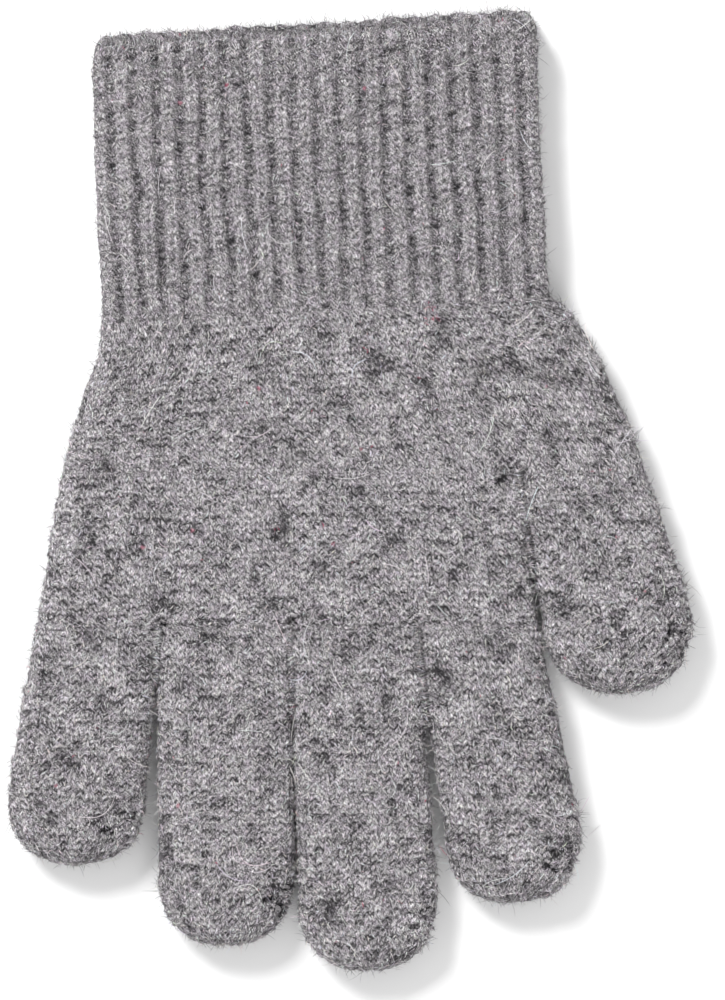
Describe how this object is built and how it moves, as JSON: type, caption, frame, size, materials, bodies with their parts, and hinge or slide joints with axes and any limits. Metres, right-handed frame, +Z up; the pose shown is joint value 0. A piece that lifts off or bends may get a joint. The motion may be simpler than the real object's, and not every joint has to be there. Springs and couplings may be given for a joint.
{
  "type": "knitted glove",
  "caption": "Seamless felted wool glove lying flat, with tubular fingers, a thumb and a rib cuff, that bends at the wrist and at each finger.",
  "frame": {"origin": "on the surface the glove lies on, under the middle of its outline", "axes": "+Z up out of the palm, the side that the fingers bend towards, +Y towards the mouth of the cuff, +X towards the thumb; the fingers run to -Y"},
  "size_m": [0.1236, 0.1724, 0.009],
  "materials": {
    "palm_knit": "matte",
    "finger_knit": "matte",
    "rib_knit": "matte",
    "joining_yarn": "matte",
    "elastic": "matte"
  },
  "bodies": {
    "hand": {"four_finger_palm": "palm_knit", "five_finger_palm": "palm_knit", "index_middle_crotch_join": "joining_yarn", "middle_ring_crotch_join": "joining_yarn", "ring_little_crotch_join": "joining_yarn", "thumb_crotch_join": "joining_yarn"},
    "cuff": {"cuff_rib": "rib_knit", "cuff_welt": "rib_knit", "cuff_elastic": "elastic"},
    "little_root": {"little_finger_tube": "finger_knit"},
    "little_end": {"little_fingertip": "finger_knit", "little_tip_closure": "joining_yarn"},
    "ring_root": {"ring_finger_tube": "finger_knit"},
    "ring_end": {"ring_fingertip": "finger_knit", "ring_tip_closure": "joining_yarn"},
    "middle_root": {"middle_finger_tube": "finger_knit"},
    "middle_end": {"middle_fingertip": "finger_knit", "middle_tip_closure": "joining_yarn"},
    "index_root": {"index_finger_tube": "finger_knit"},
    "index_end": {"index_fingertip": "finger_knit", "index_tip_closure": "joining_yarn"},
    "thumb_root": {"thumb_tube": "finger_knit"},
    "thumb_end": {"thumb_tip": "finger_knit", "thumb_tip_closure": "joining_yarn"}
  },
  "joints": [
    {"name": "wrist_bend", "type": "hinge", "parent": "hand", "child": "cuff", "pos_m": [-0.00468, 0.03205, 0.009], "axis": [0.9981, 0.061, 0], "range_deg": [0, 80]},
    {"name": "little_root_bend", "type": "hinge", "parent": "hand", "child": "little_root", "pos_m": [-0.04578, -0.02515, 0.009], "axis": [-1, 0, 0], "range_deg": [0, 70]},
    {"name": "little_middle_bend", "type": "hinge", "parent": "little_root", "child": "little_end", "pos_m": [-0.04808, -0.04315, 0.009], "axis": [-1, 0, 0], "range_deg": [0, 60]},
    {"name": "ring_root_bend", "type": "hinge", "parent": "hand", "child": "ring_root", "pos_m": [-0.02288, -0.02515, 0.009], "axis": [-1, 0, 0], "range_deg": [0, 70]},
    {"name": "ring_middle_bend", "type": "hinge", "parent": "ring_root", "child": "ring_end", "pos_m": [-0.02271, -0.05015, 0.009], "axis": [-1, 0, 0], "range_deg": [0, 60]},
    {"name": "middle_root_bend", "type": "hinge", "parent": "hand", "child": "middle_root", "pos_m": [0.00022, -0.02515, 0.009], "axis": [-1, 0, 0], "range_deg": [0, 70]},
    {"name": "middle_middle_bend", "type": "hinge", "parent": "middle_root", "child": "middle_end", "pos_m": [0.00172, -0.05215, 0.009], "axis": [-1, 0, 0], "range_deg": [0, 60]},
    {"name": "index_root_bend", "type": "hinge", "parent": "hand", "child": "index_root", "pos_m": [0.02272, -0.02515, 0.009], "axis": [-1, 0, 0], "range_deg": [0, 70]},
    {"name": "index_middle_bend", "type": "hinge", "parent": "index_root", "child": "index_end", "pos_m": [0.0265, -0.04715, 0.009], "axis": [-1, 0, 0], "range_deg": [0, 60]},
    {"name": "thumb_root_bend", "type": "hinge", "parent": "hand", "child": "thumb_root", "pos_m": [0.04152, 0.00285, 0.009], "axis": [-1, 0, 0], "range_deg": [0, 60]},
    {"name": "thumb_middle_bend", "type": "hinge", "parent": "thumb_root", "child": "thumb_end", "pos_m": [0.04573, -0.01415, 0.009], "axis": [-1, 0, 0], "range_deg": [0, 50]}
  ]
}
